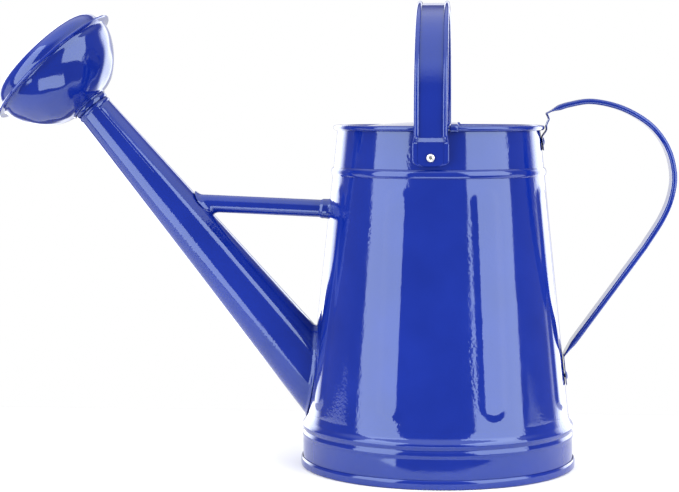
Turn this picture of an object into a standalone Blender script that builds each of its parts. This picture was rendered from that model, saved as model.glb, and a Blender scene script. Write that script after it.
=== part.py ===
"""Sheet-metal watering can: enamelled body with a swinging bail, a back handle and a rose.

Units are metres, +Z is up. The can stands on Z = 0 with its spout towards -X and its back
handle towards +X. The origin is under the middle of the whole object, so the can's own
axis stands at X = AXIS_X. Every length below is measured from that axis.
"""

import math

import bmesh
import bpy
from mathutils import Matrix, Vector

# ---------------------------------------------------------------- driving dimensions
AXIS_X = 0.0854            # the can's axis, from the middle of the whole object
GAP = 0.0003               # clearance between touching pieces
SHEET = 0.0007             # sheet of the body, base, spout and rose

WALL_R0 = 0.1116           # outer radius of the tapered wall, extended down to Z = 0
WALL_TAPER = 0.1059        # radius lost for each unit of height
SKIRT_R = 0.1108           # outer radius of the straight skirt under the lower beads
SKIRT_BOTTOM = 0.0013
RIM_TOP = 0.2785
CURL_R = 0.00185           # middle of the sheet in the rim's curl
RIM_WIRE_R = 0.00105
RING_BEAD_Z = 0.2410       # bead below the rim
RING_BEAD_HALF = 0.0033
RING_BEAD_OUT = 0.0017
BODY_STEPS = 56

BASE_SEAM_R = 0.1123       # middle of the sheet on the outside of the base seam
BASE_SEAM_TOP = 0.0065
BASE_INNER_R = 0.1088
BASE_RECESS = 0.0060

COVER_R = 0.0814           # splash cover over the spout's half of the mouth
COVER_EDGE_Z = 0.2745
COVER_RISE = 0.0062
COVER_FRONT = 0.0140       # its straight edge, from the can's axis

SPOUT_TIP = Vector((-0.2853, 0.0, 0.2922))
SPOUT_RISE = math.radians(49.9)
SPOUT_TIP_R = 0.0145       # outer radius at the tip
SPOUT_TAPER = 0.0434
SPOUT_LENGTH = 0.315

ROSE_CENTRE = Vector((-0.3178, 0.0, 0.3262))
ROSE_RISE = math.radians(46.6)
ROSE_FLANGE_R = 0.0606
ROSE_PAN_R = 0.0532
ROSE_PAN_DEPTH = 0.0163
ROSE_BOWL_R = 0.0540
ROSE_BOWL_DEPTH = 0.0430
ROSE_HOLE_R = 0.0012
ROSE_RINGS = ((0.0, 1), (0.0125, 6), (0.0250, 12), (0.0375, 18))
NECK_R = 0.0152
NECK_SLEEVE_R = 0.0134
NECK_BORE_R = 0.0126
NECK_SLEEVE = 0.0180       # how far the sleeve reaches into the spout

BRACE_LEFT = Vector((-0.1985, 0.0, 0.2140))
BRACE_RIGHT = Vector((-0.0850, 0.0, 0.2093))
BRACE_R = 0.00725

STRAP_SHEET = 0.0006
HEM_R = 0.00195            # middle of the sheet in a strap's rolled edge
HEM_SWEEP = math.radians(300)
HEM_STEPS = 7
HEM_WIRE_R = 0.00110
BAIL_X = -0.0042
BAIL_PIVOT_Z = 0.2539
BAIL_WIDTH = 0.0263
BAIL_R = 0.0909            # middle of the strap in the arch
BAIL_ARCH_Z = 0.2859
BAIL_FOOT_Y = 0.0889       # middle of the flat foot
BAIL_FOOT_WIDTH = 0.0284
BAIL_FOOT_LOW = 0.2474
BAIL_CREASE = (0.2640, 0.2716)
FOOT_SHEET = 0.0015

HANDLE_WIDTH = 0.0252
HANDLE_TAB_SHEET = 0.0009
HANDLE_RIVET_Z = (0.2651, 0.0736)

RIVET_HEAD_R = 0.0032
RIVET_HEAD_H = 0.0014
RIVET_SHANK_R = 0.0016
RIVET_BULB_R = 0.0026
RIVET_BORE_R = 0.0010
RIVET_HOLE_R = 0.00195
MANDREL_R = 0.00065

ENAMEL = (0.020, 0.040, 0.42, 1.0)
STEEL = (0.55, 0.56, 0.58, 1.0)
ALUMINIUM = (0.80, 0.81, 0.82, 1.0)


# ---------------------------------------------------------------- scene and helpers
def clear_scene():
    for item in list(bpy.data.objects):
        bpy.data.objects.remove(item, do_unlink=True)


def new_collection(name):
    group = bpy.data.collections.new(name)
    bpy.context.scene.collection.children.link(group)
    return group


def new_material(name, colour, metallic, roughness):
    material = bpy.data.materials.new(name)
    material.use_nodes = True
    shader = material.node_tree.nodes["Principled BSDF"]
    shader.inputs["Base Color"].default_value = colour
    shader.inputs["Metallic"].default_value = metallic
    shader.inputs["Roughness"].default_value = roughness
    material.diffuse_color = colour
    return material


def empty(name, parent, location, rise=None):
    """An empty at a joint; with a rise its +Z points towards -X, tilted up by that angle."""
    item = bpy.data.objects.new(name, None)
    item.empty_display_size = 0.02
    item.parent = parent
    item.location = location
    if rise is not None:
        item.rotation_euler = (0.0, rise - math.pi / 2, 0.0)
    parts.objects.link(item)
    return item


def add_mesh(name, mesh, parent, finish=None):
    """Link a mesh object; a piece gets its own material, a cutter has none."""
    item = bpy.data.objects.new(name, mesh)
    item.parent = parent
    if finish is None:
        item.hide_render = True
        item.display_type = "WIRE"
        cutters.objects.link(item)
        return item
    mesh.materials.append(new_material(name, *finish))
    parts.objects.link(item)
    return item


def smooth(mesh, degrees=35):
    mesh.shade_smooth()
    mesh.set_sharp_from_angle(angle=math.radians(degrees))


def turn(name, profile, parent, finish=None, steps=32, sheet=None, closed=False):
    """Turn a profile of (radius, height) points about the parent's Z axis.

    With sheet the profile is the middle of a shell; otherwise it bounds a solid, and it
    runs from top to bottom down the outer side.
    """
    mesh = bpy.data.meshes.new(name)
    points = [(radius, 0.0, height) for radius, height in profile]
    edges = [(i, i + 1) for i in range(len(points) - 1)]
    if closed:
        edges.append((len(points) - 1, 0))
    mesh.from_pydata(points, edges, [])
    item = add_mesh(name, mesh, parent, finish)
    screw = item.modifiers.new("turn", "SCREW")
    screw.axis = "Z"
    screw.steps = steps
    screw.render_steps = steps
    screw.use_merge_vertices = True
    screw.merge_threshold = 0.00001
    screw.use_smooth_shade = True
    if sheet:
        shell = item.modifiers.new("sheet", "SOLIDIFY")
        shell.thickness = sheet
        shell.offset = 0.0
        shell.use_even_offset = True
    return item


def cylinder(name, radius, depth, parent, location, axis, finish=None, sides=16):
    """A cylinder centred on a point, along an axis."""
    mesh = bpy.data.meshes.new(name)
    bm = bmesh.new()
    bmesh.ops.create_cone(bm, cap_ends=True, segments=sides, radius1=radius, radius2=radius, depth=depth)
    bm.to_mesh(mesh)
    bm.free()
    item = add_mesh(name, mesh, parent, finish)
    item.location = location
    item.rotation_euler = axis.to_track_quat("Z", "Y").to_euler()
    return item


def cut(item, cutter):
    step = item.modifiers.new("cut_" + cutter.name, "BOOLEAN")
    step.operation = "DIFFERENCE"
    step.solver = "EXACT"
    step.object = cutter


def join(item, other):
    step = item.modifiers.new("join_" + other.name, "BOOLEAN")
    step.operation = "UNION"
    step.solver = "EXACT"
    step.object = other


def arc(centre, radius, start, sweep, count):
    """Points on an arc, angles in radians, from start through sweep, ends included."""
    angles = [start + sweep * i / count for i in range(count + 1)]
    return [(centre[0] + radius * math.cos(a), centre[1] + radius * math.sin(a)) for a in angles]


def ribbon(points, thickness):
    """The closed outline of a strip of even thickness along an open line of points."""
    sides = ([], [])
    last = len(points) - 1
    for i, point in enumerate(points):
        before = Vector(points[max(i - 1, 0)])
        after = Vector(points[min(i + 1, last)])
        here = Vector(point)
        into = (here - before).normalized() if i else (after - here).normalized()
        out = (after - here).normalized() if i < last else into
        normal = Vector((-(into + out).y, (into + out).x)).normalized()
        reach = 0.5 * thickness / max(0.5, normal.dot(Vector((-into.y, into.x))))
        sides[0].append(here + normal * reach)
        sides[1].append(here - normal * reach)
    return sides[0] + sides[1][::-1]


def loft(name, loops, parent, finish=None):
    """A solid through closed loops of the same number of points, capped at both ends."""
    mesh = bpy.data.meshes.new(name)
    bm = bmesh.new()
    rings = [[bm.verts.new(point) for point in loop] for loop in loops]
    size = len(rings[0])
    for low, high in zip(rings, rings[1:]):
        for i in range(size):
            j = (i + 1) % size
            bm.faces.new((low[i], low[j], high[j], high[i]))
    bm.faces.new(rings[0][::-1])
    bm.faces.new(rings[-1])
    bmesh.ops.recalc_face_normals(bm, faces=bm.faces)
    bm.to_mesh(mesh)
    bm.free()
    return add_mesh(name, mesh, parent, finish)


def wire(name, points, radius, parent, finish, closed=False):
    """A round wire along a line of points."""
    data = bpy.data.curves.new(name, "CURVE")
    data.dimensions = "3D"
    data.bevel_depth = radius
    data.bevel_resolution = 1
    data.use_fill_caps = not closed
    spline = data.splines.new("POLY")
    spline.points.add(len(points) - 1)
    for place, point in zip(spline.points, points):
        place.co = (*point, 1.0)
    spline.use_cyclic_u = closed
    item = bpy.data.objects.new(name, data)
    item.parent = parent
    data.materials.append(new_material(name, *finish))
    parts.objects.link(item)
    return item


def smooth_line(points, count):
    """A Catmull-Rom curve through the points, with count steps between neighbours."""
    full = [2 * points[0] - points[1], *points, 2 * points[-1] - points[-2]]
    line = []
    for i in range(len(points) - 1):
        a, b, c, d = full[i:i + 4]
        for step in range(count):
            t = step / count
            line.append(0.5 * (2 * b + (c - a) * t + (2 * a - 5 * b + 4 * c - d) * t * t
                               + (3 * b - a - 3 * c + d) * t ** 3))
    line.append(points[-1])
    return line


# ---------------------------------------------------------------- body
def wall_r(z):
    """Outer radius of the plain tapered wall."""
    return WALL_R0 - WALL_TAPER * z


def body_profile():
    """Middle of the body's sheet from the rim's curl down to the base seam."""
    half = SHEET / 2
    curl_z = RIM_TOP - half - CURL_R
    wall_top = wall_r(curl_z) - half
    curl = arc((wall_top + CURL_R, curl_z), CURL_R, math.radians(-120), math.radians(300), 7)
    ring = []
    for i in range(5):
        turn_angle = math.pi * i / 4
        z = RING_BEAD_Z + RING_BEAD_HALF * math.cos(turn_angle)
        ring.append((wall_r(z) - half + RING_BEAD_OUT * math.sin(turn_angle), z))
    lower = [(wall_r(0.0430), 0.0430), (wall_r(0.0385) + 0.0009, 0.0385), (0.1112, 0.0338),
             (0.1104, 0.0300), (0.1112, 0.0262), (SKIRT_R, 0.0240), (SKIRT_R, SKIRT_BOTTOM)]
    return curl + ring + [(radius - half, z) for radius, z in lower]


def body_solid(name, clearance):
    """The space that the body fills from outside, grown by a clearance, as a cutter."""
    inner = [(radius + SHEET / 2 + clearance, z) for radius, z in body_profile() if z < 0.27]
    top = (wall_r(0.27) + clearance, 0.27)
    return turn(name, [(0.0, 0.27), top, *inner, (0.0, SKIRT_BOTTOM)], can, steps=BODY_STEPS)


def spout_r(distance):
    """Outer radius of the spout at a distance below its tip."""
    return SPOUT_TIP_R + SPOUT_TAPER * distance


def build_body():
    shell = turn("body_shell", body_profile(), can, ENAMELLED, steps=BODY_STEPS, sheet=SHEET)
    bore = turn("spout_bore", [(0.0, -0.200), (spout_r(0.200) - SHEET, -0.200),
                               (spout_r(SPOUT_LENGTH) - SHEET, -SPOUT_LENGTH), (0.0, -SPOUT_LENGTH)],
                spout_axis, steps=32)
    cut(shell, bore)
    for hole in wall_holes:
        cut(shell, hole)
    return shell


def build_rim_wire():
    half = SHEET / 2
    curl_z = RIM_TOP - half - CURL_R
    radius = wall_r(curl_z) - half + CURL_R
    ring = [Vector((x, y, curl_z)) for x, y in arc((0.0, 0.0), radius, 0.0, math.tau, BODY_STEPS)[:-1]]
    wire("rim_wire", ring, RIM_WIRE_R, can, BARE_STEEL, closed=True)


def build_base():
    half = SHEET / 2
    profile = [(BASE_SEAM_R, BASE_SEAM_TOP), (BASE_SEAM_R, half), (BASE_INNER_R, half),
               (BASE_INNER_R, BASE_RECESS - half), (0.0, BASE_RECESS - half)]
    turn("base_pan", profile, can, ENAMELLED, steps=BODY_STEPS, sheet=SHEET)


def build_cover():
    """Domed half cover; the other half is cut away along its straight edge."""
    dome = [(COVER_R * i / 5, COVER_EDGE_Z + COVER_RISE * (1 - (i / 5) ** 2)) for i in range(6)]
    cover = turn("splash_cover", dome, can, ENAMELLED, steps=40, sheet=SHEET)
    mesh = bpy.data.meshes.new("cover_cut")
    bm = bmesh.new()
    bmesh.ops.create_cube(bm, size=0.2)
    bm.to_mesh(mesh)
    bm.free()
    box = add_mesh("cover_cut", mesh, can)
    box.location = (COVER_FRONT + 0.1, 0.0, COVER_EDGE_Z)
    cut(cover, box)


# ---------------------------------------------------------------- spout and rose
def build_spout():
    half = SHEET / 2
    profile = [(spout_r(d) - half, -d) for d in (0.0, 0.1, 0.2, SPOUT_LENGTH)]
    tube = turn("spout_tube", profile, spout_axis, ENAMELLED, steps=32, sheet=SHEET)
    cut(tube, body_solid("body_cut", GAP))


def build_rose_neck():
    """Band under the bowl, with a sleeve that plugs into the spout."""
    profile = [(NECK_BORE_R, 0.0090), (NECK_R, 0.0090), (NECK_R, GAP), (NECK_SLEEVE_R, GAP),
               (NECK_SLEEVE_R, -NECK_SLEEVE), (NECK_BORE_R, -NECK_SLEEVE)]
    turn("rose_neck", profile, rose_pull, ENAMELLED, steps=32, closed=True)


def build_rose_bowl():
    half = SHEET / 2
    lip = NECK_R + 0.0012
    end = math.acos(lip / ROSE_BOWL_R)
    bowl = arc((0.0, 0.0), 1.0, 0.0, -end, 8)
    wall = [(ROSE_BOWL_R * x, ROSE_BOWL_DEPTH * z - 0.0015) for x, z in bowl]
    flange_z = -half - GAP / 2
    profile = [(ROSE_FLANGE_R - half, flange_z), (ROSE_BOWL_R, flange_z), *wall[1:]]
    turn("rose_bowl", profile, rose_axis, ENAMELLED, steps=36, sheet=SHEET)


def build_rose_face():
    half = SHEET / 2
    flange_z = half + GAP / 2
    corner = 0.0105
    edge = arc((ROSE_PAN_R - corner, ROSE_PAN_DEPTH - 0.0012 - corner), corner, 0.0, math.pi / 2, 4)
    profile = [(ROSE_FLANGE_R - half, flange_z), (ROSE_PAN_R, flange_z), *edge, (0.0, ROSE_PAN_DEPTH)]
    face = turn("rose_face", profile, rose_axis, ENAMELLED, steps=36, sheet=SHEET)
    mesh = bpy.data.meshes.new("rose_holes")
    bm = bmesh.new()
    for radius, count in ROSE_RINGS:
        for i in range(count):
            angle = math.tau * i / count
            place = Vector((radius * math.cos(angle), radius * math.sin(angle), ROSE_PAN_DEPTH))
            bmesh.ops.create_cone(bm, cap_ends=True, segments=8, radius1=ROSE_HOLE_R,
                                  radius2=ROSE_HOLE_R, depth=0.008, matrix=Matrix.Translation(place))
    bm.to_mesh(mesh)
    bm.free()
    cut(face, add_mesh("rose_holes", mesh, rose_axis))


def build_brace():
    """Tube between the spout and the wall, with a small flare at the wall."""
    along = BRACE_RIGHT - BRACE_LEFT
    frame = empty("brace_axis", can, BRACE_LEFT)
    frame.rotation_euler = along.to_track_quat("Z", "Y").to_euler()
    length = along.length
    bore = BRACE_R - SHEET
    profile = [(bore, length), (BRACE_R + 0.0009, length), (BRACE_R + 0.0009, length - 0.0060),
               (BRACE_R, length - 0.0085), (BRACE_R, 0.0), (bore, 0.0)]
    tube = turn("brace_tube", profile, frame, ENAMELLED, steps=20, closed=True)
    cut(tube, body_solid("brace_body_cut", GAP))
    spout_cut = turn("brace_spout_cut", [(0.0, -0.05), (spout_r(0.05) + GAP, -0.05),
                                         (spout_r(0.2) + GAP, -0.2), (0.0, -0.2)], spout_axis, steps=32)
    cut(tube, spout_cut)


# ---------------------------------------------------------------- straps
def strap_section(width):
    """Outline across a strap: a flat web between two rolled edges, (across, outward)."""
    reach = width / 2 - HEM_R - STRAP_SHEET / 2
    right = arc((reach, 0.0), HEM_R, math.pi, -HEM_SWEEP, HEM_STEPS)
    left = [(-x, z) for x, z in reversed(right)]
    return ribbon(left + right, STRAP_SHEET)


def plate_section(half_width, thickness):
    half = thickness / 2
    return [(-half_width, -half), (half_width, -half), (half_width, half), (-half_width, half)]


def sweep(line, outlines, across):
    """Place an outline at every point of a flat line, square to it; returns the loops."""
    loops = []
    last = len(line) - 1
    for i, point in enumerate(line):
        into = (line[i] - line[max(i - 1, 0)]) if i else (line[1] - line[0])
        out = (line[min(i + 1, last)] - line[i]) if i < last else into
        along = (into.normalized() + out.normalized()).normalized()
        outward = along.cross(across).normalized()
        stretch = 1.0 / max(0.5, along.dot(into.normalized()))
        loops.append([point + across * u + outward * v * stretch for u, v in outlines[i]])
    return loops


def hem_line(line, offset, across):
    return [point + across * offset for point in line]


def foot_half_width(z):
    """Half width of a bail foot: round below, widest beside the rivet."""
    round_top = BAIL_FOOT_LOW + 0.0041
    widest = BAIL_FOOT_WIDTH / 2
    if z >= round_top:
        return widest
    depth = (round_top - z) / (round_top - BAIL_FOOT_LOW)
    return widest * (1.0 - 0.64 * depth ** 2)


def build_bail():
    """Arched strap over the mouth; its flat feet turn on the two bail rivets."""
    across = Vector((1.0, 0.0, 0.0))
    crease_low, crease_high = BAIL_CREASE
    arch = [Vector((0.0, y, z)) for y, z in arc((0.0, BAIL_ARCH_Z), BAIL_R, math.pi, -math.pi, 20)]
    start = Vector((0.0, -BAIL_R, crease_high - 0.0006))
    end = Vector((0.0, BAIL_R, crease_high - 0.0006))
    line = [point - PIVOT for point in [start, *arch, end]]
    section = strap_section(BAIL_WIDTH)
    strap = loft("bail_strap", sweep(line, [section] * len(line), across), bail_pivot, ENAMELLED)
    heights = [BAIL_FOOT_LOW, BAIL_FOOT_LOW + 0.0008, BAIL_FOOT_LOW + 0.0023, BAIL_FOOT_LOW + 0.0041,
               crease_low, crease_high]
    for side, label in ((-1, "front"), (1, "rear")):
        outlines = []
        foot = []
        for z in heights:
            y = BAIL_R if z == crease_high else BAIL_FOOT_Y
            half = BAIL_WIDTH / 2 if z == crease_high else foot_half_width(z)
            foot.append(Vector((0.0, side * y, z)) - PIVOT)
            outlines.append(plate_section(half, FOOT_SHEET))
        plate = loft("bail_foot_" + label, sweep(foot, outlines, across), bail_pivot)
        join(strap, plate)
    cut(strap, cylinder("bail_hole", RIVET_HOLE_R, 0.3, bail_pivot, (0.0, 0.0, 0.0), Vector((0.0, 1.0, 0.0))))
    reach = BAIL_WIDTH / 2 - HEM_R - STRAP_SHEET / 2
    wire_line = [point - PIVOT for point in [start, *arch, end]]
    wire_line[0].z += 0.0012
    wire_line[-1].z += 0.0012
    for side, label in ((-1, "left"), (1, "right")):
        wire("bail_wire_" + label, hem_line(wire_line, side * reach, across), HEM_WIRE_R,
             bail_pivot, BARE_STEEL)
    smooth(strap.data)


def handle_line():
    """Middle of the back handle from the rim round to the wall, as (x, z) points."""
    shape = [(0.0876, 0.2876), (0.0950, 0.2914), (0.1060, 0.2950), (0.1240, 0.2974), (0.1480, 0.2918),
             (0.1700, 0.2788), (0.1838, 0.2610), (0.1897, 0.2400), (0.1881, 0.2215), (0.1810, 0.2030),
             (0.1670, 0.1802), (0.1046, 0.0936)]
    points = [Vector((x, 0.0, z)) for x, z in shape]
    return smooth_line(points[:-1], 2) + [points[-1]]


def wall_normal():
    return Vector((1.0, 0.0, WALL_TAPER)).normalized()


def on_wall(z, distance):
    """A point beside the wall on the handle's side, at a distance out from it."""
    return Vector((wall_r(z), 0.0, z)) + wall_normal() * distance


def build_handle():
    """Strap handle with a flat tab at each end, riveted to the wall."""
    across = Vector((0.0, 1.0, 0.0))
    line = handle_line()
    section = strap_section(HANDLE_WIDTH)
    handle = loft("back_handle", sweep(line, [section] * len(line), across), can, ENAMELLED)
    off = GAP + HANDLE_TAB_SHEET / 2
    curl_out = wall_r(RIM_TOP) + 2 * CURL_R + SHEET + off
    upper = [on_wall(0.2580, off), on_wall(0.2685, off), Vector((curl_out, 0.0, 0.2740)),
             Vector((curl_out, 0.0, 0.2790)), Vector((0.0890, 0.0, 0.2818)), Vector((0.0888, 0.0, 0.2848)),
             Vector((0.0873, 0.0, 0.2884))]
    lower = [on_wall(0.0673, off), on_wall(0.0880, off), Vector((0.1056, 0.0, 0.0949))]
    for label, tab in (("upper", upper), ("lower", lower)):
        outlines = [plate_section(HANDLE_WIDTH / 2, HANDLE_TAB_SHEET)] * len(tab)
        join(handle, loft("handle_tab_" + label, sweep(tab, outlines, across), can))
    for hole in handle_holes:
        cut(handle, hole)
    reach = HANDLE_WIDTH / 2 - HEM_R - STRAP_SHEET / 2
    inner = line[1:-1] + [line[-1].lerp(line[-2], 0.03)]
    for side, label in ((-1, "front"), (1, "rear")):
        wire("handle_wire_" + label, hem_line(inner, side * reach, across), HEM_WIRE_R, can, BARE_STEEL)
    smooth(handle.data)


# ---------------------------------------------------------------- rivets
def build_rivet(label, parent, place, outward, grip, head_finish):
    """A blind rivet and the mandrel left inside it. Grip is the plate and wall it holds."""
    frame = empty(label + "_axis", parent, place)
    frame.rotation_euler = outward.to_track_quat("Z", "Y").to_euler()
    back = -grip - GAP
    dome = arc((0.0, 0.0), 1.0, math.radians(72), math.radians(-72), 4)
    head = [(RIVET_HEAD_R * x, GAP + RIVET_HEAD_H * z) for x, z in dome]
    profile = [(RIVET_BORE_R, head[0][1]), *head[1:], (RIVET_SHANK_R, GAP), (RIVET_SHANK_R, back),
               (RIVET_BULB_R, back), (RIVET_BULB_R, back - 0.0024), (RIVET_BORE_R, back - 0.0032)]
    turn(label, profile, frame, head_finish, steps=12, closed=True)
    pin_top = GAP + 0.7 * RIVET_HEAD_H
    pin_end = back - 0.0032 - GAP
    pin = [(0.0, pin_top), (MANDREL_R, pin_top), (MANDREL_R, pin_end), (0.0015, pin_end),
           (0.0013, pin_end - 0.0014), (0.0, pin_end - 0.0014)]
    turn(label.replace("rivet", "mandrel"), pin, frame, BARE_STEEL, steps=12)


def build_rivets():
    foot_face = BAIL_FOOT_Y + FOOT_SHEET / 2
    wall_in = wall_r(BAIL_PIVOT_Z) - SHEET
    grip = foot_face - wall_in + 0.0003
    for side, label in ((-1, "front"), (1, "rear")):
        place = Vector((BAIL_X, side * foot_face, BAIL_PIVOT_Z))
        build_rivet("bail_rivet_" + label, can, place, Vector((0.0, side, 0.0)), grip, BARE_ALUMINIUM)
    for z, label in zip(HANDLE_RIVET_Z, ("upper", "lower")):
        place = on_wall(z, GAP + HANDLE_TAB_SHEET)
        grip = GAP + HANDLE_TAB_SHEET + SHEET
        build_rivet("handle_rivet_" + label, can, place, wall_normal(), grip, ENAMELLED)


def hole_cutters():
    """Cutters for the rivet holes: those through the wall, and those through the handle."""
    through = Vector((0.0, 1.0, 0.0))
    bail = cylinder("wall_hole_bail", RIVET_HOLE_R, 0.3, can, (BAIL_X, 0.0, BAIL_PIVOT_Z), through)
    handle = []
    for z, label in zip(HANDLE_RIVET_Z, ("upper", "lower")):
        handle.append(cylinder("wall_hole_" + label, RIVET_HOLE_R, 0.02, can, on_wall(z, 0.0), wall_normal()))
    return [bail, *handle], handle


clear_scene()
parts = new_collection("watering_can")
cutters = new_collection("cutters")
ENAMELLED = (ENAMEL, 0.0, 0.12)
BARE_STEEL = (STEEL, 1.0, 0.35)
BARE_ALUMINIUM = (ALUMINIUM, 1.0, 0.30)
PIVOT = Vector((0.0, 0.0, BAIL_PIVOT_Z))

can = empty("can_axis", None, (AXIS_X, 0.0, 0.0))
spout_axis = empty("spout_axis", can, SPOUT_TIP, SPOUT_RISE)
rose_pull = empty("rose_pull", spout_axis, (0.0, 0.0, 0.0))
rose_axis = empty("rose_axis", can, ROSE_CENTRE, ROSE_RISE)
bail_pivot = empty("bail_pivot", can, (BAIL_X, 0.0, BAIL_PIVOT_Z))
wall_holes, handle_holes = hole_cutters()

build_body()
build_rim_wire()
build_base()
build_cover()
build_spout()
build_rose_neck()
build_rose_bowl()
build_rose_face()
build_brace()
build_bail()
build_handle()
build_rivets()
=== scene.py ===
import math

import bmesh
import bpy
from mathutils import Matrix, Vector


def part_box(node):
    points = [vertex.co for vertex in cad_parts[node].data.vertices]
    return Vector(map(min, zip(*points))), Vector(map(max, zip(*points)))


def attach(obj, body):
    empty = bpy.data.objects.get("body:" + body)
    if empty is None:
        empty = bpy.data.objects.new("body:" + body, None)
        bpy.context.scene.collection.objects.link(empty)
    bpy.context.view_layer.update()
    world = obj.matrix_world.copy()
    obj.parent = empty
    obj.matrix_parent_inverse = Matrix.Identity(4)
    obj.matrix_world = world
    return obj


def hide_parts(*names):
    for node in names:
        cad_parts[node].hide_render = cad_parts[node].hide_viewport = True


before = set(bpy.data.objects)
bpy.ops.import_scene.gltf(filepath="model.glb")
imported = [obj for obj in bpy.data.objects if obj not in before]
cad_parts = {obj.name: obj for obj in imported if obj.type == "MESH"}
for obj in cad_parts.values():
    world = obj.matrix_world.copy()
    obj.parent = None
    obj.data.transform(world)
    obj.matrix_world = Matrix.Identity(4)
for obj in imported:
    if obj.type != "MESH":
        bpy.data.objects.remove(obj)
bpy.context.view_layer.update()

# ---------------------------------------------------------------- sizes, in metres
base_low, base_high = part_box("base_pan")
AXIS_X = (base_low.x + base_high.x) / 2       # the can's axis; lengths below start from it
CAN = Matrix.Translation((AXIS_X, 0.0, 0.0))

SHEET = 0.0007
WALL_R0 = 0.1116
WALL_TAPER = 0.1059
RIM_TOP = 0.2785
CURL_R = 0.00185
RING_BEAD_Z = 0.2410
RING_BEAD_HALF = 0.0033
RING_BEAD_OUT = 0.0017
SKIRT_R = 0.1108
SKIRT_BOTTOM = 0.0013
BODY_STEPS = 360

FLUTES = 8
FLUTE_PHASE = math.radians(-19.2)             # first flute, from the front towards +X
FLUTE_OUT = 0.0007
FLUTE_HALF = 0.0132                           # half width where the wall starts to rise
FLUTE_FLAT = 0.0054                           # half width of the flat panel
FLUTE_LOW = 0.0490
FLUTE_HIGH = 0.2330

BASE_SEAM_R = 0.1123
BASE_INNER_R = 0.1088
BASE_RECESS = 0.0060

COVER_R = 0.0814
COVER_EDGE_Z = 0.2745
COVER_RISE = 0.0062
COVER_FRONT = 0.0140
COVER_TAB = ((0.0802, 0.2735), (0.0805, 0.2754), (0.0811, 0.2773), (0.0822, 0.2789),
             (0.0836, 0.2796), (0.0849, 0.2791), (0.0858, 0.2777), (0.0861, 0.2757),
             (0.0861, 0.2740))                # (radius, z) of the tab's line over the rim
COVER_TAB_X = (0.0105, 0.0112, 0.0135, 0.0160, 0.0168)
COVER_TAB_DROP = 0.0006                       # how far the tab's two side edges bend down

SPOUT_TIP = Vector((-0.2853, 0.0, 0.2922))
SPOUT_RISE = math.radians(49.9)
SPOUT_TIP_R = 0.0145
SPOUT_TAPER = 0.0434
SPOUT_SEAM = math.radians(24.0)               # lap seam, from the front towards the top
SPOUT_START = 0.0001
SPOUT_ROLL = 0.0037                           # length of the rolled edge at the tip
ROSE_CENTRE = Vector((-0.3178, 0.0, 0.3262))
ROSE_RISE = math.radians(46.6)
ROSE_PAN_R = 0.0532
ROSE_PAN_DEPTH = 0.0163
ROSE_CORNER_R = 0.0105
ROSE_DENT = 0.00036
ROSE_HOLE_R = 0.0012
ROSE_RINGS = ((0.0, 1), (0.0125, 6), (0.0250, 12), (0.0375, 18))

BRACE_LEFT = Vector((-0.1985, 0.0, 0.2140))
BRACE_RIGHT = Vector((-0.0850, 0.0, 0.2093))
BRACE_R = 0.00725

SINK = 0.0002                                 # how far soldered ends go into their neighbour

STRAP_SHEET = 0.0006
HEM_R = 0.00195
HEM_SWEEP = math.radians(325)
HEM_STEPS = 18
BAIL_X = -0.0042
BAIL_PIVOT_Z = 0.2539
BAIL_WIDTH = 0.0263
BAIL_R = 0.0909
BAIL_ARCH_Z = 0.2859
BAIL_FOOT_Y = 0.0889
BAIL_FOOT_WIDTH = 0.0284
BAIL_FOOT_LOW = 0.2474
BAIL_FOOT_ROUND = 0.0048                      # height of the foot's rounded end
BAIL_CREASE = (0.2640, 0.2716)
FOOT_HEM_R = 0.00045                          # half thickness of a pressed-flat hem
HANDLE_WIDTH = 0.0252
HANDLE_TAB_SHEET = 0.0009
HANDLE_FLAT_SHEET = 0.00042                   # thickness of the web and hems where pressed flat
HANDLE_HEM_R = 0.00022
HANDLE_RIVET_Z = (0.2651, 0.0736)
RIVET_HEAD_R = 0.0032
RIVET_HEAD_H = 0.0014
RIVET_BORE_R = 0.0010
RIVET_SHANK_R = 0.0016
RIVET_HOLE_R = 0.00195
PIN_REACH = 0.01                              # how far a cutting pin goes past the wall's face
GAP = 0.0003
SHARP = math.radians(32)                      # edges with a larger angle are shaded sharp

CAMERA_LENS = 97.3
CAMERA_PLACE = (AXIS_X + 0.032, -1.502, 0.2936)
CAMERA_DOWN = 4.356                           # degrees below the horizon
CAMERA_LEFT = 4.307                           # degrees turned to the left
LIGHT_AIM_Z = 0.15
FLOOR_SIDE = 12.0
FLOOR_FRONT = -0.18                           # a table: past its front and back edges it is dim
FLOOR_BACK = 0.24
FLOOR_LEVEL = -0.0002


# ---------------------------------------------------------------- materials
def new_nodes(name):
    material = bpy.data.materials.new(name)
    material.use_nodes = True
    tree = material.node_tree
    return material, tree, tree.nodes["Principled BSDF"]


def noise(tree, scale, detail=2.0, stretch=None):
    """A noise texture in object coordinates; stretch scales the axes."""
    place = tree.nodes.new("ShaderNodeTexCoord")
    texture = tree.nodes.new("ShaderNodeTexNoise")
    texture.inputs["Scale"].default_value = scale
    texture.inputs["Detail"].default_value = detail
    source = place.outputs["Object"]
    if stretch:
        mapping = tree.nodes.new("ShaderNodeMapping")
        mapping.inputs["Scale"].default_value = stretch
        tree.links.new(source, mapping.inputs["Vector"])
        source = mapping.outputs["Vector"]
    tree.links.new(source, texture.inputs["Vector"])
    return texture.outputs["Fac"]


def ramp(tree, source, low, high, start=0.35, end=0.65):
    """Maps a noise between two colours."""
    node = tree.nodes.new("ShaderNodeValToRGB")
    node.color_ramp.elements[0].position = start
    node.color_ramp.elements[0].color = low
    node.color_ramp.elements[1].position = end
    node.color_ramp.elements[1].color = high
    tree.links.new(source, node.inputs["Fac"])
    return node.outputs["Color"]


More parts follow.
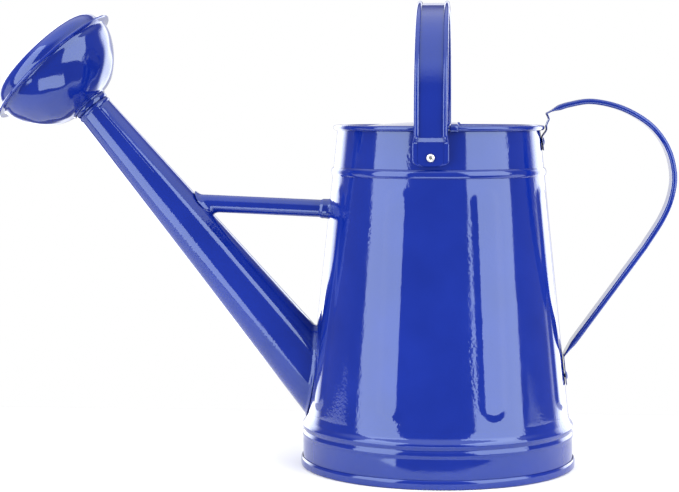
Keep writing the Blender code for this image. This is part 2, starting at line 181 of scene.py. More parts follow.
def bump(tree, source, strength, distance, before=None):
    """A bump from a height; before is the normal of a bump below it."""
    node = tree.nodes.new("ShaderNodeBump")
    node.inputs["Strength"].default_value = strength
    node.inputs["Distance"].default_value = distance
    tree.links.new(source, node.inputs["Height"])
    if before:
        tree.links.new(before, node.inputs["Normal"])
    return node.outputs["Normal"]


def calculate(tree, operation, first, second):
    """A maths node on a socket and a second socket or number."""
    node = tree.nodes.new("ShaderNodeMath")
    node.operation = operation
    tree.links.new(first, node.inputs[0])
    if isinstance(second, float):
        node.inputs[1].default_value = second
    else:
        tree.links.new(second, node.inputs[1])
    return node.outputs["Value"]


def grey(value):
    return (value, value, value, 1.0)


def enamel_material():
    """Glossy cobalt enamel: slight colour drift, patches of fine orange peel and soft waves."""
    material, tree, shader = new_nodes("blue_enamel")
    deep = (0.0024, 0.0144, 0.206, 1.0)
    light = (0.0038, 0.0178, 0.236, 1.0)
    colour = ramp(tree, noise(tree, 22.0), deep, light)
    tree.links.new(colour, shader.inputs["Base Color"])
    rough = ramp(tree, noise(tree, 90.0, 3.0), grey(0.055), grey(0.095))
    tree.links.new(rough, shader.inputs["Roughness"])
    wave = bump(tree, noise(tree, 38.0, 1.0), strength=0.16, distance=0.0010)
    patches = ramp(tree, noise(tree, 16.0, 2.0), grey(0.12), grey(1.0), 0.46, 0.64)
    grain = calculate(tree, "MULTIPLY", noise(tree, 400.0, 1.0), patches)
    peel = bump(tree, grain, strength=0.26, distance=0.00035, before=wave)
    tree.links.new(peel, shader.inputs["Normal"])
    shader.inputs["IOR"].default_value = 1.75
    shader.inputs["Specular Tint"].default_value = (0.66, 0.82, 1.0, 1.0)
    return material


def metal_material(name, low, high, rough, stretch):
    """Bare metal with drawing or turning marks along one direction."""
    material, tree, shader = new_nodes(name)
    marks = noise(tree, 900.0, 4.0, stretch)
    colour = ramp(tree, noise(tree, 160.0), low, high)
    tree.links.new(colour, shader.inputs["Base Color"])
    spread = ramp(tree, marks, grey(rough - 0.07), grey(rough + 0.09))
    tree.links.new(spread, shader.inputs["Roughness"])
    relief = bump(tree, marks, strength=0.25, distance=0.0001)
    tree.links.new(relief, shader.inputs["Normal"])
    shader.inputs["Metallic"].default_value = 1.0
    return material


def floor_material():
    material, tree, shader = new_nodes("studio_floor")
    colour = ramp(tree, noise(tree, 3.0), (0.90, 0.90, 0.91, 1.0), (0.94, 0.94, 0.94, 1.0))
    tree.links.new(colour, shader.inputs["Base Color"])
    shader.inputs["Roughness"].default_value = 0.9
    return material


ENAMEL = enamel_material()
STEEL = metal_material("drawn_steel", grey(0.60), grey(0.76), 0.32, (1.0, 1.0, 0.15))
ALUMINIUM = metal_material("satin_aluminium", grey(0.70), grey(0.86), 0.34, (1.0, 0.2, 1.0))
SLOTS = {"blue_enamel": ENAMEL, "steel_wire": STEEL, "bare_aluminium": ALUMINIUM}


# ---------------------------------------------------------------- mesh helpers
def add_piece(name, points, faces, slot, body, nodes, place=CAN):
    """A finished piece in the row frame, on its body, standing for its CAD nodes."""
    mesh = bpy.data.meshes.new(name)
    mesh.from_pydata([place @ Vector(point) for point in points], [], faces)
    bm = bmesh.new()
    bm.from_mesh(mesh)
    bmesh.ops.remove_doubles(bm, verts=bm.verts, dist=0.000002)
    bmesh.ops.recalc_face_normals(bm, faces=bm.faces)
    bm.to_mesh(mesh)
    bm.free()
    mesh.shade_smooth()
    mesh.set_sharp_from_angle(angle=SHARP)
    piece = bpy.data.objects.new(name, mesh)
    bpy.context.scene.collection.objects.link(piece)
    mesh.materials.append(SLOTS[slot])
    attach(piece, body)
    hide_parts(*nodes)
    return piece


def cut(piece, cutters):
    """Cuts closed meshes, given as (points, faces), out of a piece and keeps the result."""
    for points, faces in cutters:
        mesh = bpy.data.meshes.new("cutter")
        mesh.from_pydata(points, [], faces)
        tool = bpy.data.objects.new("cutter", mesh)
        bpy.context.scene.collection.objects.link(tool)
        step = piece.modifiers.new("cut", "BOOLEAN")
        step.operation = "DIFFERENCE"
        step.solver = "EXACT"
        step.object = tool
        bpy.context.view_layer.update()
        evaluated = piece.evaluated_get(bpy.context.evaluated_depsgraph_get())
        result = bpy.data.meshes.new_from_object(evaluated)
        piece.modifiers.clear()
        piece.data = result
        bpy.data.objects.remove(tool, do_unlink=True)
    piece.data.shade_smooth()
    piece.data.set_sharp_from_angle(angle=SHARP)


def smooth_line(points, count):
    """A Catmull-Rom curve through points of any dimension."""
    rows = [Vector(point) for point in points]
    full = [2 * rows[0] - rows[1], *rows, 2 * rows[-1] - rows[-2]]
    line = []
    for i in range(len(rows) - 1):
        a, b, c, d = full[i:i + 4]
        for step in range(count):
            t = step / count
            line.append(0.5 * (2 * b + (c - a) * t + (2 * a - 5 * b + 4 * c - d) * t * t
                               + (3 * b - a - 3 * c + d) * t ** 3))
    return line + [rows[-1]]


def arc(centre, radius, start, sweep, count):
    angles = [start + sweep * i / count for i in range(count + 1)]
    return [(centre[0] + radius * math.cos(a), centre[1] + radius * math.sin(a)) for a in angles]


def circle(radius, count):
    angles = [math.tau * i / count for i in range(count)]
    return [(radius * math.cos(a), radius * math.sin(a)) for a in angles]


def ribbon(points, thickness):
    """The closed outline of a strip of even thickness along an open line of 2-D points."""
    sides = ([], [])
    rows = [Vector(point) for point in points]
    last = len(rows) - 1
    for i, here in enumerate(rows):
        into = (here - rows[i - 1]).normalized() if i else (rows[1] - here).normalized()
        out = (rows[i + 1] - here).normalized() if i < last else into
        normal = Vector((-(into + out).y, (into + out).x)).normalized()
        reach = 0.5 * thickness / max(0.5, normal.dot(Vector((-into.y, into.x))))
        sides[0].append(here + normal * reach)
        sides[1].append(here - normal * reach)
    return sides[0] + sides[1][::-1]


def band_faces(here, there, size):
    """Faces between two closed sections whose points start at here and there."""
    faces = []
    for i in range(size):
        j = (i + 1) % size
        faces.append((here + i, here + j, there + j, there + i))
    return faces


def ring_faces(count, size):
    """Faces of closed sections that follow each other round a full ring."""
    faces = []
    for k in range(count):
        faces += band_faces(k * size, ((k + 1) % count) * size, size)
    return faces


def grid_faces(start, rows, size):
    """Faces of an open grid of rows of points, the first at index start."""
    faces = []
    for row in range(rows - 1):
        for i in range(size - 1):
            a = start + row * size + i
            faces.append((a, a + 1, a + size + 1, a + size))
    return faces


def lathe(outline, steps, shape=None):
    """Points and faces of a closed outline of (radius, height) turned about Z.

    shape moves a point: it takes radius, height and angle and gives the new radius and
    height. Angle 0 is the front, and it grows towards +X.
    """
    points = []
    for step in range(steps):
        angle = math.tau * step / steps
        for radius, height in outline:
            r, z = shape(radius, height, angle) if shape else (radius, height)
            points.append((r * math.sin(angle), -r * math.cos(angle), z))
    return points, ring_faces(steps, len(outline))


def turned(name, outline, steps, slot, body, nodes, place=CAN, shape=None):
    points, faces = lathe(outline, steps, shape)
    return add_piece(name, points, faces, slot, body, nodes, place)


def loft(loops):
    """Points and faces through closed loops of equal size, capped at both ends."""
    size = len(loops[0])
    points = [point for loop in loops for point in loop]
    faces = []
    for row in range(len(loops) - 1):
        faces += band_faces(row * size, (row + 1) * size, size)
    faces.append(tuple(range(size))[::-1])
    faces.append(tuple(range(len(points) - size, len(points))))
    return points, faces


def plug(place, centre, ends, count):
    """A closed round plug along the place's Z; ends gives (radius, height) from the centre."""
    loops = []
    for radius, height in ends:
        loops.append([place @ (centre + Vector((x, y, height))) for x, y in circle(radius, count)])
    return loft(loops)


def joined(solids):
    """Several (points, faces) as one."""
    points = []
    faces = []
    for more_points, more_faces in solids:
        start = len(points)
        points += more_points
        faces += [tuple(start + index for index in face) for face in more_faces]
    return points, faces


def turning_point(holds, low, high):
    """Where a test that holds at low stops holding before high, found by halving."""
    for _ in range(40):
        middle = (low + high) / 2
        if holds(middle):
            low = middle
        else:
            high = middle
    return (low + high) / 2


def ease(value, low, high):
    """0 below low, 1 above high, and smooth between."""
    t = min(1.0, max(0.0, (value - low) / (high - low)))
    return t * t * (3.0 - 2.0 * t)


def tilted(centre, rise):
    """The matrix of a frame whose +Z points towards -X and up by rise."""
    return CAN @ Matrix.Translation(centre) @ Matrix.Rotation(rise - math.pi / 2, 4, "Y")


SPOUT_ALONG = Vector((-math.cos(SPOUT_RISE), 0.0, math.sin(SPOUT_RISE)))
SPOUT_UPPER = Vector((math.sin(SPOUT_RISE), 0.0, math.cos(SPOUT_RISE)))
SPOUT = tilted(SPOUT_TIP, SPOUT_RISE)
ROSE = tilted(ROSE_CENTRE, ROSE_RISE)


# ---------------------------------------------------------------- body, base and cover
def wall_r(z):
    return WALL_R0 - WALL_TAPER * z


def flute_out(angle, z):
    """How far the wall stands out at an angle and height."""
    turn = (angle - FLUTE_PHASE) / (math.tau / FLUTES)
    across = (turn - round(turn)) * (math.tau / FLUTES) * wall_r(z)
    along = max(0.0, FLUTE_LOW + FLUTE_HALF - z, z - FLUTE_HIGH + FLUTE_HALF)
    return FLUTE_OUT * (1.0 - ease(math.hypot(across, along), FLUTE_FLAT, FLUTE_HALF))


def outside_wall(point):
    """Whether a point of the can's frame is further out than just below the wall's face."""
    angle = math.atan2(point.x, -point.y)
    return math.hypot(point.x, point.y) > wall_r(point.z) + flute_out(angle, point.z) - SINK


def body_line():
    """Middle of the body's sheet from the rim's curl down to the base seam."""
    half = SHEET / 2
    curl_z = RIM_TOP - half - CURL_R
    centre = (wall_r(curl_z) - half + CURL_R, curl_z)
    line = arc(centre, CURL_R, math.radians(-130), math.radians(310), 18)
    line += [(wall_r(z) - half, z) for z in (0.2740, 0.2690, 0.2620, 0.2540, 0.2480, 0.2454)]
    for i in range(13):
        t = math.pi * i / 12
        z = RING_BEAD_Z + RING_BEAD_HALF * math.cos(t)
        line.append((wall_r(z) - half + RING_BEAD_OUT * math.sin(t) ** 1.3, z))
    heights = [0.2366, 0.2350]
    heights += [0.2342 - 0.0013 * i for i in range(15)]
    heights += [0.2150 - 0.0082 * i for i in range(19)]
    heights += [0.0660 - 0.0013 * i for i in range(15)]
    line += [(wall_r(z) - half, z) for z in heights]
    lower = [(wall_r(0.0450), 0.0450), (wall_r(0.0430), 0.0430), (wall_r(0.0405) + 0.0004, 0.0405),
             (wall_r(0.0380) + 0.0011, 0.0380), (0.1105, 0.0355), (0.1113, 0.0338),
             (0.1110, 0.0320), (0.1102, 0.0300), (0.1110, 0.0280), (0.1113, 0.0262),
             (0.1110, 0.0247), (SKIRT_R, 0.0232), (SKIRT_R, 0.0190), (SKIRT_R, 0.0080),
             (SKIRT_R, SKIRT_BOTTOM)]
    return line + [(radius - half, z) for radius, z in smooth_line(lower, 3)]


def spout_cutter():
    """The spout's bore as a closed mesh, to open the wall inside the spout."""
    ends = [(spout_r(distance) - SHEET - SINK, -distance) for distance in (0.2000, 0.3150)]
    return plug(SPOUT, Vector((0.0, 0.0, 0.0)), ends, 64)


def pin_cutter(start, end, radius):
    """A round pin between two points in the can's frame, as a closed mesh."""
    axis = (end - start).normalized()
    side = axis.orthogonal().normalized()
    other = axis.cross(side)
    loops = []
    for centre in (start, end):
        loops.append([CAN @ (centre + side * radius * math.cos(a) + other * radius * math.sin(a))
                      for a in (math.tau * i / 24 for i in range(24))])
    return loft(loops)


def wall_normal():
    return Vector((1.0, 0.0, WALL_TAPER)).normalized()


def on_wall(z, distance):
    return Vector((wall_r(z), 0.0, z)) + wall_normal() * distance


def handle_pins():
    return [pin_cutter(on_wall(z, -PIN_REACH), on_wall(z, PIN_REACH), RIVET_HOLE_R)
            for z in HANDLE_RIVET_Z]


def bail_pin():
    """One pin from front to rear, past both feet."""
    front = Vector((BAIL_X, -0.15, BAIL_PIVOT_Z))
    rear = Vector((BAIL_X, 0.15, BAIL_PIVOT_Z))
    return pin_cutter(front, rear, RIVET_HOLE_R)


def build_body():
    outline = ribbon(body_line(), SHEET)

    def fluted(radius, z, angle):
        return radius + flute_out(angle, z), z

    body = turned("body", outline, BODY_STEPS, "blue_enamel", "can", ["body_shell"], CAN, fluted)
    cut(body, [spout_cutter(), bail_pin(), *handle_pins()])


def build_base():
    pan_z = BASE_RECESS - SHEET / 2
    line = [(0.1112, 0.0069), (0.1117, 0.0067), (0.1121, 0.0060), (BASE_SEAM_R, 0.0050),
            (BASE_SEAM_R, 0.0016), (0.11215, 0.0008), (0.1117, 0.00042), (0.1110, 0.00035),
            (0.1100, 0.00035), (0.1093, 0.00042), (0.1089, 0.0008), (BASE_INNER_R, 0.0015),
            (BASE_INNER_R, 0.0048), (0.1086, 0.0053), (0.1080, pan_z), (0.1000, pan_z),
            (0.0620, pan_z), (0.0590, pan_z - 0.0008), (0.0560, pan_z), (0.0001, pan_z)]
    turned("base", ribbon(line, SHEET), 240, "blue_enamel", "can", ["base_pan"])


def cover_z(x, y):
    return COVER_EDGE_Z + COVER_RISE * (1.0 - (x * x + y * y) / COVER_R ** 2)


def build_cover():
    """Domed half cover with a folded straight edge and a small tab over the rim at each corner."""
    rows = []
    steps = 40
    first = 0.06                              # radians from -X, so that no row has zero width
    last = math.acos(-COVER_FRONT / COVER_R)
    for i in range(steps + 1):
        theta = first + (last - first) * i / steps
        rows.append((-COVER_R * math.cos(theta), COVER_R * math.sin(theta), 0.0))
    edge = rows[-1][1]
    fold = ((0.0008, -0.0002), (0.0012, -0.0007), (0.0012, -0.0013), (0.0008, -0.0018),
            (0.0, -0.0020), (-0.0020, -0.0020), (-0.0040, -0.0019))
    rows += [(COVER_FRONT + dx, edge, dz) for dx, dz in fold]
    across = 48
    points = []
    for x, half, drop in rows:
        for j in range(across + 1):
            y = half * (2.0 * j / across - 1.0)
            points.append((x, y, cover_z(min(x, COVER_FRONT), y) + drop))
    faces = grid_faces(0, len(rows), across + 1)
    for side in (-1, 1):
        faces += grid_faces(len(points), len(COVER_TAB_X), len(COVER_TAB))
        for x in COVER_TAB_X:
            drop = COVER_TAB_DROP if x in (COVER_TAB_X[0], COVER_TAB_X[-1]) else 0.0
            for radius, z in COVER_TAB:
                points.append((x, side * math.sqrt(radius ** 2 - x ** 2), z - drop))
    cover = add_piece("cover", points, faces, "blue_enamel", "can", ["splash_cover"])
    shell = cover.modifiers.new("sheet", "SOLIDIFY")
    shell.thickness = SHEET
    shell.offset = 0.0
    shell.use_even_offset = True


# ---------------------------------------------------------------- spout, rose and brace
def spout_r(distance):
    return SPOUT_TIP_R + SPOUT_TAPER * distance


def spout_point(distance, radius, phi):
    """A point in the can's frame; phi is measured from the front towards the top."""
    side = Vector((0.0, -math.cos(phi), 0.0)) + SPOUT_UPPER * math.sin(phi)
    return SPOUT_TIP - SPOUT_ALONG * distance + side * radius


def spout_end(phi, inset):
    """Distance below the tip where the spout's line at phi meets the wall."""
    def outside(distance):
        return outside_wall(spout_point(distance, spout_r(distance) - inset, phi))

    return turning_point(outside, 0.15, 0.34)


def spout_shape(distance, phi, end):
    """Extra outer radius: rolled tip, lap seam with its folded start, and solder at the wall."""
    tip = 0.0
    if distance < SPOUT_ROLL:
        tip = 0.0007 * math.sin(math.pi * min(1.0, distance / SPOUT_ROLL)) ** 0.6
    around = ((phi - SPOUT_SEAM + math.pi) % math.tau - math.pi) * spout_r(distance)
    seam = 0.00055 * ease(around, -0.0004, 0.0004) * (1.0 - ease(around, 0.0040, 0.0075))
    seam *= ease(distance, SPOUT_ROLL, 0.0050)
    blob = 0.0007 * math.exp(-((around - 0.0010) ** 2 + (distance - 0.0062) ** 2) / 0.0016 ** 2)
    solder = 0.0016 * (1.0 - ease(end - distance, 0.0, 0.0042))
    return tip + seam + blob + solder


def build_spout():
    around = 160
    shares = [0.0, 0.0015, 0.003, 0.005, 0.007, 0.009, 0.011, 0.0125, 0.014, 0.017, 0.020, 0.025,
              0.030]
    shares += [0.030 + 0.94 * i / 40 for i in range(1, 41)]
    shares += [0.976, 0.981, 0.986, 0.990, 0.994, 0.997, 1.0]
    points = []
    for k in range(around):
        phi = math.tau * k / around
        end = spout_end(phi, 0.0)
        inner_end = spout_end(phi, SHEET)
        for share in shares:
            distance = SPOUT_START + share * (end - SPOUT_START)
            outer = spout_r(distance) + spout_shape(distance, phi, end)
            points.append(spout_point(distance, outer, phi))
        for share in reversed(shares):
            distance = SPOUT_START + share * (inner_end - SPOUT_START)
            points.append(spout_point(distance, spout_r(distance) - SHEET, phi))
    faces = ring_faces(around, 2 * len(shares))
    add_piece("spout", points, faces, "blue_enamel", "can", ["spout_tube"])


def build_neck():
    outline = [(0.0126, 0.0088), (0.0129, 0.0090), (0.0149, 0.0090), (0.0152, 0.0086),
               (0.0152, 0.0062), (0.0150, 0.0057), (0.0150, 0.0050), (0.0153, 0.0044),
               (0.0154, 0.0030), (0.0153, 0.0014), (0.0149, 0.0005), (0.0145, 0.0003),
               (0.0134, 0.0003), (0.0134, -0.0150), (0.0132, -0.0180), (0.0126, -0.0180)]
    turned("neck", outline, 120, "blue_enamel", "rose_neck", ["rose_neck"], SPOUT)


def bowl_dents(radius, height, angle):
    """Shallow hand-work dents, strongest near the neck and gone at the flange."""
    share = ease(-height, 0.006, 0.030) * ease(radius, 0.0155, 0.022)
    wave = math.sin(5.0 * angle + 190.0 * height)
    wave += 0.6 * math.sin(11.0 * angle - 260.0 * height + 1.1)
    wave += 0.4 * math.sin(3.0 * angle + 2.0)
    return radius + ROSE_DENT * share * wave, height


def build_bowl():
    crimp = [(0.0574, 0.0008), (0.0592, 0.0009), (0.0600, 0.0008), (0.06045, 0.0004),
             (0.06045, -0.0001), (0.0600, -0.0006), (0.0590, -0.0007), (0.0565, -0.0007),
             (0.0553, -0.0010)]
    deep = [(0.0547, -0.0020), (0.0537, -0.0075), (0.0508, -0.0143), (0.0462, -0.0215),
            (0.0405, -0.0282), (0.0345, -0.0338), (0.0282, -0.0380), (0.0220, -0.0405),
            (0.0175, -0.0416), (0.0163, -0.0422), (0.0160, -0.0432)]
    line = crimp + [tuple(point) for point in smooth_line(deep, 5)]
    turned("bowl", ribbon(line, SHEET), 160, "blue_enamel", "rose", ["rose_bowl"], ROSE, bowl_dents)


def build_face():
    """Shallow pan with a slightly domed, perforated face and a flange held in the bowl's crimp."""
    flat_r = ROSE_PAN_R - ROSE_CORNER_R
    top = ROSE_PAN_DEPTH - 0.0012
    edge = arc((flat_r, top - ROSE_CORNER_R), ROSE_CORNER_R, 0.0, math.pi / 2, 14)
    line = [(0.0594, 0.0002), (0.0560, 0.0002), (0.0543, 0.0002), (0.0535, 0.0006),
            (ROSE_PAN_R, 0.0014), *edge]
    for i in range(1, 21):
        share = 1.0 - i / 20.0
        radius = max(0.0001, flat_r * share)
        line.append((radius, top + (ROSE_PAN_DEPTH - top) * (1.0 - share ** 2)))
    face = turned("face", ribbon(line, SHEET), 144, "blue_enamel", "rose", ["rose_face"], ROSE)
    ends = ((ROSE_HOLE_R, -0.004), (ROSE_HOLE_R, 0.004))
    holes = []
    for radius, count in ROSE_RINGS:
        for x, y in circle(radius, count):
            holes.append(plug(ROSE, Vector((x, y, ROSE_PAN_DEPTH)), ends, 16))
    cut(face, [joined(holes)])


def inside_spout(point):
    """Whether a point of the can's frame is further in than just below the spout's face."""
    down = (SPOUT_TIP - point).dot(SPOUT_ALONG)
    return (point - SPOUT_TIP + SPOUT_ALONG * down).length <= spout_r(down) - SINK


def brace_ends(along, offset):
    """Where a line along the brace leaves the spout and meets the wall."""
    def in_spout(distance):
        return inside_spout(BRACE_LEFT + along * distance + offset)

    def before_wall(distance):
        return outside_wall(BRACE_LEFT + along * distance + offset)

    return turning_point(in_spout, -0.02, 0.05), turning_point(before_wall, 0.09, 0.14)


def build_brace():
    """Tube with a splayed foot on the spout and a small flared collar at the wall."""
    along = (BRACE_RIGHT - BRACE_LEFT).normalized()
    side = Vector((0.0, -1.0, 0.0))
    other = along.cross(side).normalized()
    around = 72
    shares = [0.0, 0.010, 0.020, 0.035, 0.050, 0.070, 0.100, 0.200, 0.400, 0.600, 0.800, 0.900,
              0.918, 0.930, 0.938, 0.945, 0.955, 0.975, 0.990, 1.0]
    points = []
    for k in range(around):
        phi = math.tau * k / around
        offset = side * math.cos(phi) + other * math.sin(phi)
        start, end = brace_ends(along, offset * BRACE_R)
        for share in shares:
            place = start + (end - start) * share
            splay = 0.0026 * (1.0 - ease(place - start, 0.0, 0.0070)) ** 2
            collar = 0.0009 * ease(place, end - 0.0080, end - 0.0058)
            collar += 0.0005 * ease(place, end - 0.0022, end)
            points.append(BRACE_LEFT + along * place + offset * (BRACE_R + splay + collar))
        for share in reversed(shares):
            place = start + (end - start) * share
            points.append(BRACE_LEFT + along * place + offset * (BRACE_R - SHEET))
    faces = ring_faces(around, 2 * len(shares))
    add_piece("brace", points, faces, "blue_enamel", "can", ["brace_tube"])


# ---------------------------------------------------------------- straps
def strap_outline(width, flat, hem_flat, sheet, one_sided=False):
    """Outline across a strap as (across, outward); flat goes from 0, rolled edges, to 1, pressed.

    The web meets the rolls at their middle or, if one_sided, at their inner side.
    """
    reach = width / 2 - HEM_R - sheet / 2
    rise = HEM_R + (hem_flat - HEM_R) * flat
    right = []
    for i in range(HEM_STEPS + 1):
        turn = HEM_SWEEP * i / HEM_STEPS
        a = turn - math.pi / 2 if one_sided else math.pi - turn
        right.append((reach + HEM_R * math.cos(a), rise * math.sin(a)))
    left = [(-x, z) for x, z in reversed(right)]
    web_end, web_z = right[0]
    web = [(web_end * (2.0 * i / 8 - 1.0), web_z) for i in range(1, 8)]
    return ribbon(left + web + right, sheet)


def sweep(stations, across):
    """Places each station's outline square to the line; a station is (point, outline)."""
    loops = []
    last = len(stations) - 1
    for i, (point, outline) in enumerate(stations):
        into = point - stations[i - 1][0] if i else stations[1][0] - point
        out = stations[i + 1][0] - point if i < last else into
        along = (into.normalized() + out.normalized()).normalized()
        outward = along.cross(across).normalized()
        loops.append([point + across * u + outward * v for u, v in outline])
    return loops


def foot_share(z):
    """Width of a bail foot as a share of its widest, round at its lower end."""
    round_top = BAIL_FOOT_LOW + BAIL_FOOT_ROUND
    if z >= round_top:
        return 1.0
    depth = (round_top - z) / (round_top - BAIL_FOOT_LOW)
    return 0.36 + 0.64 * math.sqrt(max(0.0, 1.0 - depth ** 2.4))


def bail_leg(side):
    """Stations of one leg from the foot's tip up to the arch."""
    low, high = BAIL_CREASE
    heights = [BAIL_FOOT_LOW + BAIL_FOOT_ROUND * (i / 10) ** 1.6 for i in range(11)]
    heights += [0.2545, 0.2570, 0.2600, 0.2620, 0.2632]
    heights += [low + (high - low) * i / 8 for i in range(9)]
    heights += [0.2735, 0.2760, 0.2800, 0.2830]
    stations = []
    for z in heights:
        rise = ease(z, low, high)
        y = BAIL_FOOT_Y + (BAIL_R - BAIL_FOOT_Y) * rise
        widest = BAIL_FOOT_WIDTH + (BAIL_WIDTH - BAIL_FOOT_WIDTH) * rise
        width = widest * foot_share(z)
        outline = strap_outline(widest, 1.0 - rise, FOOT_HEM_R, STRAP_SHEET)
        outline = [Vector((u * width / widest, v)) for u, v in outline]
        stations.append((Vector((BAIL_X, side * y, z)), outline))
    return stations


def build_bail():
    across = Vector((1.0, 0.0, 0.0))
    outline = strap_outline(BAIL_WIDTH, 0.0, FOOT_HEM_R, STRAP_SHEET)
    arch = arc((0.0, BAIL_ARCH_Z), BAIL_R, math.pi, -math.pi, 72)
    middle = [(Vector((BAIL_X, y, z)), outline) for y, z in arch]
    stations = bail_leg(-1) + middle + bail_leg(1)[::-1]
    points, faces = loft(sweep(stations, across))
    bail = add_piece("bail", points, faces, "blue_enamel", "bail", ["bail_strap"])
    cut(bail, [bail_pin()])


def handle_line():
    """The handle's web from its upper tab, over the rim and round, down to its lower tab."""
    off = GAP + HANDLE_TAB_SHEET / 2
    curl_out = wall_r(RIM_TOP) + 2 * CURL_R + SHEET + off
    over_rim = [(curl_out, 0.2742), (curl_out, 0.2780), (0.0882, 0.2808), (0.0892, 0.2832),
                (0.0884, 0.2856), (0.0873, 0.2878)]
    bow = [(0.0873, 0.2878), (0.0950, 0.2914), (0.1060, 0.2950), (0.1240, 0.2974), (0.1480, 0.2918),
           (0.1700, 0.2788), (0.1838, 0.2610), (0.1897, 0.2400), (0.1881, 0.2215), (0.1810, 0.2030),
           (0.1670, 0.1802)]
    tab = [on_wall(z, off) for z in (0.2580, 0.2640, 0.2688)]
    upper = smooth_line(tab + [Vector((x, 0.0, z)) for x, z in over_rim], 4)[:-1]
    curve = smooth_line([Vector((x, 0.0, z)) for x, z in bow], 8)
    bend = Vector((0.1056, 0.0, 0.0949))
    tail = [Vector((0.1670, 0.0, 0.1802)).lerp(bend, i / 14) for i in range(1, 15)]
    lower = [on_wall(z, off) for z in (0.0905, 0.0880, 0.0840, 0.0780, 0.0700, 0.0673)]
    return upper + curve + tail + lower


def build_handle():
    across = Vector((0.0, 1.0, 0.0))
    stations = []
    for point in handle_line():
        top = 1.0 - ease(point.x, 0.0900, 0.0990) if point.z > 0.2 else 0.0
        bottom = 1.0 - ease(point.z, 0.0900, 0.1030)
        flat = max(top, bottom)
        hem_flat = HANDLE_HEM_R + HANDLE_HEM_R * ease(point.z, 0.2745, 0.2785)
        sheet = STRAP_SHEET + (HANDLE_FLAT_SHEET - STRAP_SHEET) * flat
        outline = strap_outline(HANDLE_WIDTH, flat, hem_flat, sheet, one_sided=True)
        stations.append((point, outline))
    points, faces = loft(sweep(stations, across))
    handle = add_piece("handle", points, faces, "blue_enamel", "can", ["back_handle"])
    cut(handle, handle_pins())


# ---------------------------------------------------------------- rivets and wires
def rivet_outline(grip):
    """A domed head with a thin flange, a recess round its mandrel, a shank and a bulb."""
    dome = arc((0.0, 0.0), 1.0, math.radians(66), math.radians(-60), 14)
    dome_r = RIVET_HEAD_R * 0.985
    head = [(dome_r * x, GAP + RIVET_HEAD_H * z) for x, z in dome]
    recess = [(RIVET_BORE_R, GAP + 0.4 * RIVET_HEAD_H), (RIVET_BORE_R, head[0][1] - 0.00008)]
    rim = [(RIVET_HEAD_R, GAP + 0.00018), (RIVET_HEAD_R, GAP + 0.00005),
           (RIVET_HEAD_R - 0.0001, GAP)]
    back = -grip - GAP
    shank = [(RIVET_SHANK_R, GAP), (RIVET_SHANK_R, back)]
    bulb = [(RIVET_SHANK_R + 0.0006, back), (0.0026, back - 0.0005), (0.0027, back - 0.0014),
            (0.0024, back - 0.0024), (RIVET_BORE_R, back - 0.0032)]
    return recess + head + rim + shank + bulb


def build_rivet(name, node, place, outward, grip, slot):
    turn = outward.to_track_quat("Z", "Y").to_matrix().to_4x4()
    matrix = CAN @ Matrix.Translation(place) @ turn
    turned(name, rivet_outline(grip), 48, slot, "can", [node], matrix)


def build_rivets():
    foot_face = BAIL_FOOT_Y + 0.00075
    grip = foot_face - (wall_r(BAIL_PIVOT_Z) - SHEET) + 0.0003
    for side, label in ((-1, "front"), (1, "rear")):
        place = Vector((BAIL_X, side * foot_face, BAIL_PIVOT_Z))
        outward = Vector((0.0, side, 0.0))
        build_rivet("bail_stud_" + label, "bail_rivet_" + label, place, outward, grip,
                    "bare_aluminium")
    tab_face = GAP + HANDLE_TAB_SHEET
    for z, label in zip(HANDLE_RIVET_Z, ("upper", "lower")):
        build_rivet("handle_stud_" + label, "handle_rivet_" + label, on_wall(z, tab_face),
                    wall_normal(), tab_face + SHEET, "blue_enamel")


def finish_nodes():
    """The wires and mandrels keep their CAD shape and get the drawn steel."""
    for name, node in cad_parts.items():
        if "wire" in name or "mandrel" in name:
            node.data.materials.clear()
            node.data.materials.append(STEEL)


# ---------------------------------------------------------------- studio
def build_floor():
    mesh = bpy.data.meshes.new("studio_floor")
    corners = [(-FLOOR_SIDE, FLOOR_FRONT, FLOOR_LEVEL), (FLOOR_SIDE, FLOOR_FRONT, FLOOR_LEVEL),
               (FLOOR_SIDE, FLOOR_BACK, FLOOR_LEVEL), (-FLOOR_SIDE, FLOOR_BACK, FLOOR_LEVEL)]
    mesh.from_pydata(corners, [], [(0, 1, 2, 3)])
    mesh.materials.append(floor_material())
    floor = bpy.data.objects.new("studio_floor", mesh)
    bpy.context.scene.collection.objects.link(floor)


def softbox(name, azimuth, distance, height, size, power):
    """A rectangular light; azimuth from the front towards +X, looking at the can."""
    data = bpy.data.lights.new(name, "AREA")
    data.shape = "RECTANGLE"
    data.size, data.size_y = size
    data.energy = power
    light = bpy.data.objects.new(name, data)
    a = math.radians(azimuth)
    light.location = (AXIS_X + distance * math.sin(a), -distance * math.cos(a), height)
    aim = Vector((AXIS_X, 0.0, LIGHT_AIM_Z)) - light.location
    light.rotation_euler = aim.to_track_quat("-Z", "Y").to_euler()
    light.visible_camera = False
    bpy.context.scene.collection.objects.link(light)


def world_tone(tree, source, start, end, top):
    """Rises smoothly from 0 to top as a direction's share of one axis goes from start to end."""
    tone = tree.nodes.new("ShaderNodeMapRange")
    tone.interpolation_type = "SMOOTHSTEP"
    tone.inputs["From Min"].default_value = start
    tone.inputs["From Max"].default_value = end
    tone.inputs["To Max"].default_value = top
    tree.links.new(source, tone.inputs["Value"])
    return tone.outputs["Result"]


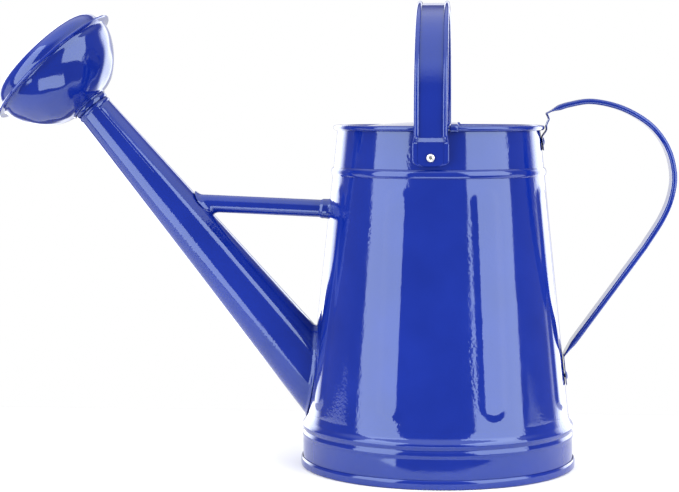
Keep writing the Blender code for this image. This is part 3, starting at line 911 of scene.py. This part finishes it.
def build_world():
    """A tent: bright panels behind the can, softer in the middle, a faint roof and a dim front.

    The panels reach from foot to brow. The camera itself sees plain white.
    """
    world = bpy.data.worlds.new("studio")
    bpy.context.scene.world = world
    world.use_nodes = True
    tree = world.node_tree
    place = tree.nodes.new("ShaderNodeTexCoord")
    split = tree.nodes.new("ShaderNodeSeparateXYZ")
    tree.links.new(place.outputs["Generated"], split.inputs["Vector"])
    wall = world_tone(tree, split.outputs["Y"], start=0.52, end=0.72, top=4.6)
    middle = world_tone(tree, split.outputs["Y"], start=0.90, end=0.97, top=3.8)
    foot = world_tone(tree, split.outputs["Z"], start=-0.55, end=-0.25, top=1.0)
    brow = world_tone(tree, split.outputs["Z"], start=0.28, end=0.48, top=1.0)
    roof = world_tone(tree, split.outputs["Z"], start=0.50, end=0.85, top=1.3)
    dim = 0.26
    panels = calculate(tree, "SUBTRACT", wall, middle)
    height = calculate(tree, "SUBTRACT", foot, brow)
    total = calculate(tree, "MULTIPLY", panels, height)
    total = calculate(tree, "ADD", total, roof)
    total = calculate(tree, "ADD", total, dim)
    tent = tree.nodes["Background"]
    tree.links.new(total, tent.inputs["Color"])
    white = tree.nodes.new("ShaderNodeBackground")
    sight = tree.nodes.new("ShaderNodeLightPath")
    mix = tree.nodes.new("ShaderNodeMixShader")
    tree.links.new(sight.outputs["Is Camera Ray"], mix.inputs["Fac"])
    tree.links.new(tent.outputs["Background"], mix.inputs[1])
    tree.links.new(white.outputs["Background"], mix.inputs[2])
    white.inputs["Color"].default_value = grey(1.0)
    tree.links.new(mix.outputs["Shader"], tree.nodes["World Output"].inputs["Surface"])


def build_studio():
    build_floor()
    build_world()
    softbox("softbox_left", azimuth=-51.0, distance=1.50, height=0.45,
            size=(1.10, 2.30), power=29.5)
    softbox("softbox_right", azimuth=56.0, distance=1.50, height=0.72,
            size=(1.50, 1.75), power=31.0)
    softbox("softbox_low", azimuth=4.0, distance=0.62, height=-0.33,
            size=(0.80, 0.34), power=3.0)
    data = bpy.data.cameras.new("camera")
    data.lens = CAMERA_LENS
    camera = bpy.data.objects.new("camera", data)
    camera.location = CAMERA_PLACE
    camera.rotation_euler = (math.radians(90.0 - CAMERA_DOWN), 0.0, math.radians(CAMERA_LEFT))
    bpy.context.scene.collection.objects.link(camera)
    bpy.context.scene.camera = camera
    bpy.context.scene.view_settings.view_transform = "Standard"


build_body()
build_base()
build_cover()
build_spout()
build_neck()
build_bowl()
build_face()
build_brace()
build_bail()
build_handle()
build_rivets()
finish_nodes()
build_studio()
